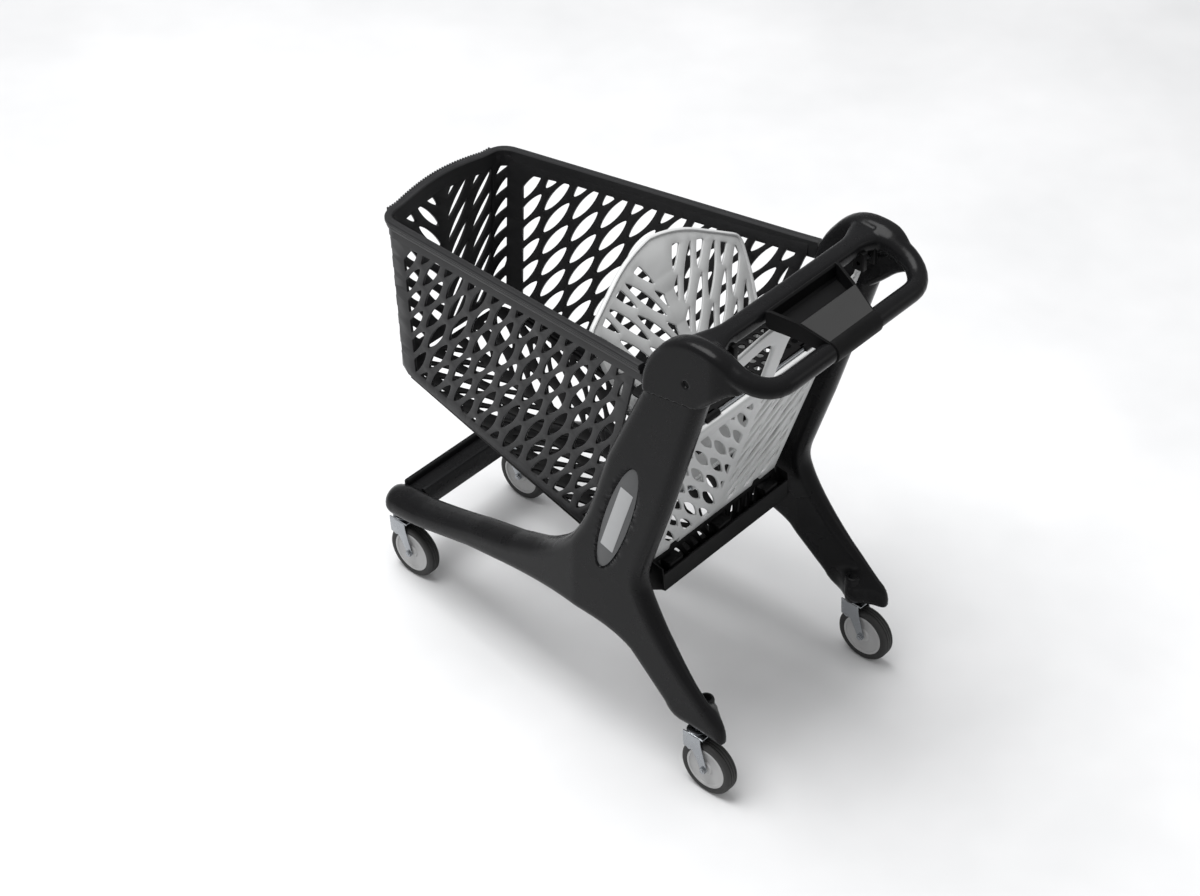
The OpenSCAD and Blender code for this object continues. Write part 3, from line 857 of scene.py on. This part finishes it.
sill_half = slots(lattice((20, 408), (24, 0), (0, 200), 9, 0), 60, 11, (0.5, 0.87),
                  [((8, 300), (8, 500))[::-1], ((0, 392), (200, 392)), ((200, 428), (0, 428)),
                   ((184, 300), (184, 500))])
sill_band = pierced([(-192, 378), (192, 378), (192, 437), (-192, 437)],
                    with_mirror(sill_half), 6, on_sill)
ledge = [(-178, 384), (-176, 381), (-205, 373), (-209, 376), (-211, 400), (-207, 400),
         (-205, 380), (-183, 386), (-184, 420), (-180, 420)]
sill_ledge = tube([(-196, 0, 0), (0, 0, 0), (196, 0, 0)], ledge)
sill_ends = [slab([(176, 386), (182, 436), (212, 441), (214, 400), (211, 371), (205, 369)],
                  x - 1.5, x + 1.5, on_yz, 0.6) for x in (-198, 198)]
sill_ribs = [slab([(180, 384), (206, 377), (209, 398), (182, 414)], x - 1.2, x + 1.2, on_yz, 0.4)
             for x in np.linspace(-196, 196, 9)]
catches = [block((x - 20, 186, 404), (x + 20, 214, 428), 3) for x in (-150, 0, 150)]
piece("rear_sill_ledge", together(sill_band, sill_ledge, *sill_ends, *sill_ribs, *catches),
      dark_plastic, "chassis", ["rear_sill"])


# ---------------------------------------------------------------- handle

GRIP_R = 20
CAP_OUT, CAP_IN = 281.0, 231  # the handle caps' outer and inner faces
SCREW_AT, SCREW_DEPTH = np.array([71, 993]), 9
seam_top = [(y, z + 0.7) for y, z in seam]
cap_outline = (
    seam_top[::-1]
    + bend(seam_top[0], (186, 985), (146, 1034), 8)
    + bend((146, 1034), (110, 1087), (50, 1086), 8) + bend((50, 1086), (6, 1087), (-20, 1062), 6)
    + bend((-20, 1062), (-40, 1040), (-38, 1010), 4) + bend((-38, 1010), (-10, 1000), (10, 976), 4)
    + bend((10, 976), (26, 960), seam_top[2], 3)
)


def handle_cap():
    """The right cap, narrower towards its rear end, with a recess for its screw."""
    def outer(p):
        hole = 1 - smooth_step(np.linalg.norm(p - SCREW_AT, axis=1), 5.4, 7.4)
        return CAP_OUT - 12 * smooth_step(20 - p[:, 0], 0, 60) - SCREW_DEPTH * hole

    def inner(p):
        return CAP_IN + 9 * smooth_step(p[:, 1], 955, 1010)

    return moulding(cap_outline, outer, inner, 15, on_yz, grid=7, power=2.6,
                    square=[(seam_top[0], seam_top[1]), (seam_top[1], seam_top[2])],
                    more=[tuple(SCREW_AT + r * np.array([math.cos(t), math.sin(t)]))
                          for r in (4, 6.2, 8) for t in np.linspace(0, 2 * math.pi, 17)[:-1]])


grip_path = [(249, 44, 1056), (252, 14, 1054)]
for t in np.linspace(0, 90, 9):
    angle = math.radians(t)
    rise = 27 * (1 - smooth_step(t, -25, 68))
    grip_path.append((180 + 72 * math.cos(angle), -14 - 72 * math.sin(angle), 1022 + rise))
grip_path += [(x, -86, 1022) for x in np.linspace(150, 0, 6)]
swell = [1.3, 1.22, 1.1, 1.04, 1.0] + [1.0] * (len(grip_path) - 5)
grip_sections = [oval(2 * GRIP_R * s, 2 * GRIP_R * s, 24) for s in swell]
grip_path_full = grip_path + [(-x, y, z) for x, y, z in grip_path[-2::-1]]
grip = tube(grip_path_full, grip_sections + grip_sections[-2::-1])

# The front bar flares in width and height where it runs into the caps.
bar_x = np.linspace(-262, 262, 41)
bar_wide = [42 + 40 * smooth_step(abs(x), 180, 254) for x in bar_x]
bar_high = [34 + 26 * smooth_step(abs(x), 212, 258) for x in bar_x]
bar_path = [(x, 56 + 4 * smooth_step(abs(x), 150, 250), 1058 - 8 * smooth_step(abs(x), 212, 258))
            for x in bar_x]
front_bar = tube(bar_path, [oval(w, h, 28, 3.2) for w, h in zip(bar_wide, bar_high)])
handle = together(both_sides(handle_cap()), grip, front_bar)
piece("handle_moulding", handle, black_plastic, "chassis", ["handle_unit"],
      sharp=0, blend_mm=2.6, soften=4)
brackets = both_sides(together(block((186, 27, 1012), (200, 54, 1052), 3),
                               block((220, 27, 1012), (231, 54, 1052), 3)))
piece("hinge_brackets", brackets, dark_plastic, "chassis", [])

# Coin and card tray between the grip loops: a sunken pocket and a sloping satin lid.
def tray_half_width(y):
    """Half-width of the tray, which narrows to the rear."""
    return np.interp(y, [-110, -92, -25, 24, 40], [62, 66, 86, 104, 109])


tray_side = [(30, 1078), (22, 1079), (-25, 1068), (-70, 1049), (-100, 1037), (-104, 1030),
             (-100, 1020), (-60, 1024), (-20, 1034), (22, 1042), (30, 1050)]
TRAY_WALL = 7


def between(one, other):
    """A solid between two matching outlines in space."""
    n = len(one)
    faces = [(i, (i + 1) % n, n + (i + 1) % n, n + i) for i in range(n)]
    return one + other, faces + [tuple(range(n))[::-1], tuple(range(n, 2 * n))]


def tray_sheet(profile, gap):
    """A sheet across the tray along a y-z profile, as wide as the tray less a gap."""
    return between([(gap - tray_half_width(y), y, z) for y, z in profile],
                   [(tray_half_width(y) - gap, y, z) for y, z in profile])


tray_walls = both_sides(between([(tray_half_width(y), y, z) for y, z in tray_side],
                                [(tray_half_width(y) - TRAY_WALL, y, z) for y, z in tray_side]))
pocket = tray_sheet([(26, 1052), (22, 1047), (-20, 1040), (-60, 1030), (-60, 1026), (-20, 1036),
                     (22, 1043), (30, 1048)], 3)
pocket_back = tray_sheet([(31, 1077), (28, 1074), (26, 1046), (30, 1046), (34, 1077)], 3)
nose = tray_sheet([(-62, 1048), (-98, 1036), (-103, 1030), (-99, 1021), (-60, 1024)], 1)
collar = tube([(x, -86, 1022) for x in (-66, -65, 0, 65, 66)],
              [oval(2 * r, 2 * r, 28) for r in (21, 23, 23, 23, 21)])
tray_bed = together(tray_walls, pocket, pocket_back, nose, collar)
piece("tray_pocket", tray_bed, dark_plastic, "chassis", ["tray"], sharp=25)
lid = tray_sheet([(-29, 1067), (-31, 1068), (-70, 1050.9), (-97, 1039.6), (-99, 1037),
                  (-70, 1047), (-31, 1063)], 4)
piece("tray_lid_plate", lid, lid_plastic, "chassis", ["tray_lid"], sharp=25)


# ---------------------------------------------------------------- gate

GATE_SLOPE = 0.2886
GATE_LOW, GATE_TOP, GATE_T, GATE_BORDER = 440, 812, 6, 18
HANGER_T = 10


def gate_y(z):
    """Where the gate's sloping plane stands at a height."""
    return 211.8 - GATE_SLOPE * (z - 475.3) - 8


def on_gate(u, v, w):
    """A place on the gate's plane."""
    return u, gate_y(v) + w, v


def gate_half(z):
    """Half-width of the gate at a height."""
    return 190 + 0.073 * (z - GATE_LOW)


# Its lower edge has a small notch on each side.
gate_outline = [(-gate_half(GATE_TOP), GATE_TOP), (-gate_half(GATE_LOW), GATE_LOW),
                (-144, 437), (-144, 452), (-117, 452), (-117, 437),
                (117, 437), (117, 452), (144, 452), (144, 437),
                (gate_half(GATE_LOW), GATE_LOW), (gate_half(GATE_TOP), GATE_TOP)]
gate_side_border = ((gate_half(GATE_LOW) - GATE_BORDER, GATE_LOW),
                    (gate_half(GATE_TOP) - GATE_BORDER, GATE_TOP))
gate_half_slots = slots(lattice((76, 640), (-11, -58), (62, 14), 7, 4), 121, 18, (75, 95),
                        [((12, 900), (12, 300)), gate_side_border,
                         ((0, 458), (200, 458)), ((200, 780), (0, 780))])
gate_sheet = pierced(gate_outline, with_mirror(gate_half_slots), GATE_T, on_gate)
gate_lip = tube([(x, gate_y(GATE_TOP), GATE_TOP) for x in np.linspace(-217, 217, 5)],
                oval(15, 18, 16, 4))
pads = [block((x - 15, gate_y(560) + 2, 590), (x + 15, 186, 618), 3) for x in (-150, 150)]
piece("gate_grille", together(gate_sheet, gate_lip, *pads), pale_plastic, "gate",
      ["gate_panel"])

# The hanger lies in the gate's plane. Its two ears reach up to the hinge pins.
hanger_half = (
    [(0, 1008), (90, 1000), (180, 980), (202, 985), (203, 1018)]
    + bend((203, 1026), (205, 1036), (211, 1036), 4) + [(218, 1031), (218, 934)]
    + bend((214, 927), (180, 930), (150, 938), 4)
    + bend((70, 958), (26, 955), (23, 915), 6) + [(22, 820), (0, 820)]
)
hanger_outline = whole_outline(hanger_half)


def hanger_front(p):
    return gate_y(p[:, 1]) + HANGER_T / 2


def hanger_back(p):
    return gate_y(p[:, 1]) - HANGER_T / 2


hanger = moulding(hanger_outline, hanger_front, hanger_back, HANGER_T / 2,
                  lambda u, v, w: (u, w, v), grid=12)
piece("gate_hanger_arms", hanger, pale_plastic, "gate", ["gate_hanger"])


# ---------------------------------------------------------------- child seat

# The backrest's hinge line, its lean from upright and its thickness.
SEAT_Y, SEAT_Z, SEAT_LEAN, SEAT_T = 176, 603, math.radians(28), 6


def on_seat(u, v, w):
    """A place on the leaning backrest, v up along it from its hinge."""
    return (u, SEAT_Y + v * math.sin(SEAT_LEAN) + w * math.cos(SEAT_LEAN),
            SEAT_Z + v * math.cos(SEAT_LEAN) - w * math.sin(SEAT_LEAN))


seat_half = ([(0, 8), (128, 8), (150, 60), (192, 190), (216, 300)]
             + bend((221, 348), (225, 374), (206, 384), 6)
             + bend((130, 428), (72, 463), (0, 471), 9))
seat_outline = whole_outline(seat_half)
seat_borders = [((14, 600), (14, 0)), ((30, 44), (140, 44)), ((128, 44), (178, 196)),
                ((178, 196), (207, 330)), ((207, 340), (203, 366)), ((203, 366), (126, 412)),
                ((126, 412), (14, 448))]
seat_leaf = ((11, 385), (40, 445))
seat_slots_half = slots(lattice((62, 372), (0, -67), (62, -22), 7, 4), 125, 19, (70, 103),
                        seat_borders + [seat_leaf[::-1]] + [((12, 460), (12, 0))])
seat_sheet = pierced(seat_outline, with_mirror(seat_slots_half), SEAT_T, on_seat)
lip_path = [on_seat(x, s, 0) for x, s in dense(seat_outline, 25)]
seat_lip = tube(lip_path, oval(9, 12, 12), closed=True,
                up=(0, math.cos(SEAT_LEAN), -math.sin(SEAT_LEAN)))
knuckles = [tube([(x - 16, SEAT_Y, SEAT_Z), (x + 16, SEAT_Y, SEAT_Z)], oval(15, 15, 20))
            for x in (-110, 110)]
piece("child_backrest", together(seat_sheet, seat_lip, *knuckles), pale_plastic, "seat_back",
      ["seat_back"])

# The seat plate's hinge line, and the pitch and radius of its holes.
PLATE_Y, PLATE_Z = 112, 824
HOLE_PITCH, HOLE_R = 23, 7.5
plate_outline = rounded([(-204, PLATE_Y + 6), (204, PLATE_Y + 6), (196, PLATE_Y + 162),
                         (-196, PLATE_Y + 162)], 14)
plate_holes = []
for row in range(6):
    for col in range(-8, 9):
        cx = col * HOLE_PITCH + (HOLE_PITCH / 2 if row % 2 else 0)
        cy = PLATE_Y + 28 + row * 22
        if abs(cx) < 186:
            plate_holes.append([(cx + HOLE_R * math.cos(a), cy + HOLE_R * math.sin(a))
                                for a in np.linspace(0, 2 * math.pi, 15)[:-1]])
plate_sheet = pierced(plate_outline, plate_holes, 4, lambda u, v, w: (u, v, PLATE_Z + w), 0.8)
plate_tabs = [together(tube([(x - 20, PLATE_Y, PLATE_Z), (x + 20, PLATE_Y, PLATE_Z)],
                            oval(14, 14, 20)),
                       block((x - 20, PLATE_Y, PLATE_Z - 2), (x + 20, PLATE_Y + 12, PLATE_Z + 2), 0.8))
              for x in (-150, 0, 150)]
piece("child_seat_plate", together(plate_sheet, *plate_tabs), dark_plastic, "seat_plate",
      ["seat_plate"])


# ---------------------------------------------------------------- casters

tyre_profile = [(-13.5, 46.5), (-15, 50), (-15, 56), (-13.6, 59.5), (-10.5, 62), (-7.4, 62.5),
                (-7, 61), (-5.8, 61), (-5.4, 62.5), (-0.8, 62.5), (-0.5, 61), (0.5, 61),
                (0.8, 62.5), (5.4, 62.5), (5.8, 61), (7, 61), (7.4, 62.5), (10.5, 62),
                (13.6, 59.5), (15, 56), (15, 50), (13.5, 46.5)]
disc_profile = [(-14, 7.2), (-14, 13), (-12.5, 15), (-10.5, 16.5), (-10.5, 38), (-12.2, 41),
                (-14, 42), (-14, 47), (14, 47), (14, 42), (12.2, 41), (10.5, 38),
                (10.5, 16.5), (12.5, 15), (14, 13), (14, 7.2)]
CHEEK, CHEEK_T = 20, 2.6  # a fork's half-width and its steel's thickness


def fork_solid(x, y):
    """A caster's pressed fork over the axle at (x, y), with its swivel ring."""
    cheek_outline = (bend((-9, 0), (0, -15), (9, -1), 5)
                     + [(29, 36), (53, 38), (56, 78), (14, 78), (6, 46)])
    cheeks = [slab(rounded([(y + u, AXLE_Z + v) for u, v in cheek_outline], 2, 2), low, low + CHEEK_T,
                   on_yz, 0.5)
              for low in (x - CHEEK, x + CHEEK - CHEEK_T)]
    # the curved front plate closes the fork and rounds over into the swivel head
    front = []
    for k in range(13):
        angle = math.pi * k / 12
        front.append((x + CHEEK * math.cos(angle), y + 38 + 18 * math.sin(angle)))
    plate = front + [(x + (u - x) * 0.87, v - CHEEK_T) for u, v in front[::-1]]
    cover = slab(plate, AXLE_Z + 34, AXLE_Z + 79, lambda u, v, w: (u, v, w), 0.5)
    roof = slab(rounded([(x - CHEEK, y + 4), (x + CHEEK, y + 4), (x + CHEEK, y + 42)]
                        + front[1:-1] + [(x - CHEEK, y + 42)], 1.5, 2),
                AXLE_Z + 75, AXLE_Z + 79.5, lambda u, v, w: (u, v, w), 1.0)
    head = [(7, 0), (18, 0), (19, 1.2), (19, 3.2), (15, 4.2), (7, 4.5)]
    ring = upright_lathe([(r, AXLE_Z + 79 + h) for r, h in head], x, y + TRAIL, 36)
    return together(*cheeks, cover, roof, ring)


CASTERS = {"front_left": (-FRONT_X, WHEELBASE), "front_right": (FRONT_X, WHEELBASE),
           "rear_left": (-REAR_X, 0), "rear_right": (REAR_X, 0)}
for name, (x, y) in CASTERS.items():
    piece(f"tread_{name}", lathe(tyre_profile, (x, y, AXLE_Z), 72), tyre_rubber,
          f"roller_{name}", [f"tyre_{name}"], sharp=45)
    piece(f"wheel_disc_{name}", lathe(disc_profile, (x, y, AXLE_Z), 64), wheel_nylon,
          f"roller_{name}", [f"wheel_{name}"], sharp=30)
    piece(f"pressed_fork_{name}", fork_solid(x, y), zinc_steel, f"swivel_{name}",
          [f"fork_{name}"], sharp=35)


# ---------------------------------------------------------------- kept CAD nodes

KEPT = {
    "frame_bolts": zinc_steel, "cap_screws": dark_plastic, "hinge_pins": zinc_steel,
    "caster_stems": zinc_steel, "stem_nuts": zinc_steel, "seat_back_pins": zinc_steel,
    "seat_plate_rod": zinc_steel,
}
for corner in CASTERS:
    KEPT[f"axle_bolt_{corner}"] = zinc_steel
    KEPT[f"bush_{corner}"] = wheel_nylon
for name, material in KEPT.items():
    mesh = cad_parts[name].data
    mesh.materials.clear()
    mesh.materials.append(material)


# ---------------------------------------------------------------- floor, light and camera

# The floor turns up into a back wall; sizes in metres.
floor_mesh = bpy.data.meshes.new("studio_floor")
wide, depth, rise, curve_r = 14, 9, 9, 3
rows = [(-wide, 0)] + [(depth - curve_r + curve_r * math.sin(t), curve_r - curve_r * math.cos(t))
                       for t in np.linspace(0, math.pi / 2, 16)] + [(depth, rise)]
floor_mesh.from_pydata([(s * wide, y, z) for y, z in rows for s in (-1, 1)], [],
                       [(2 * i, 2 * i + 1, 2 * i + 3, 2 * i + 2) for i in range(len(rows) - 1)])
floor_mesh.shade_smooth()
studio_floor = bpy.data.objects.new("studio_floor", floor_mesh)
bpy.context.scene.collection.objects.link(studio_floor)
studio_floor.rotation_euler = (0, 0, math.radians(-48.7))
floor_mesh.materials.append(
    finish("matt_white_studio_floor", "#c8c9ca", "#ececed", 0.75, 0.03, 3.0, 0.01, cloud_mm=900,
           specular=0.2))

world = bpy.data.worlds.new("studio")
bpy.context.scene.world = world
world.use_nodes = True
world.node_tree.nodes["Background"].inputs["Color"].default_value = linear("#f5f5f5")
world.node_tree.nodes["Background"].inputs["Strength"].default_value = 0.6


def aimed(place, aim):
    """The turn of a lamp or camera at a place that looks at another place."""
    return (Vector(aim) - Vector(place)).to_track_quat("-Z", "Y")


def softbox(name, place, aim, size, power):
    """A round studio lamp: size across in metres, power in watts."""
    lamp = bpy.data.lights.new(name, "AREA")
    lamp.shape, lamp.size, lamp.energy = "DISK", size, power
    made = bpy.data.objects.new(name, lamp)
    bpy.context.scene.collection.objects.link(made)
    made.location = place
    made.rotation_mode = "QUATERNION"
    made.rotation_quaternion = aimed(place, aim)


softbox("top_softbox", (-0.6, 1.0, 5.2), (0.3, 0.3, 0), 4.0, 350)
softbox("rear_softbox", (2.2, -3.2, 2.4), (0, 0, 0.6), 1.6, 6)

CAMERA_AT, CAMERA_AIM = (-3.1772, -2.7048, 3.8330), (-0.0670, 0.0270, 0.5137)
camera_data = bpy.data.cameras.new("camera")
camera_data.lens, camera_data.sensor_width = 78.65, 36
camera = bpy.data.objects.new("camera", camera_data)
bpy.context.scene.collection.objects.link(camera)
camera.location = CAMERA_AT
camera.rotation_mode = "QUATERNION"
camera.rotation_quaternion = aimed(CAMERA_AT, CAMERA_AIM)
bpy.context.scene.camera = camera
bpy.context.scene.view_settings.view_transform = "Standard"

bpy.context.view_layer.update()
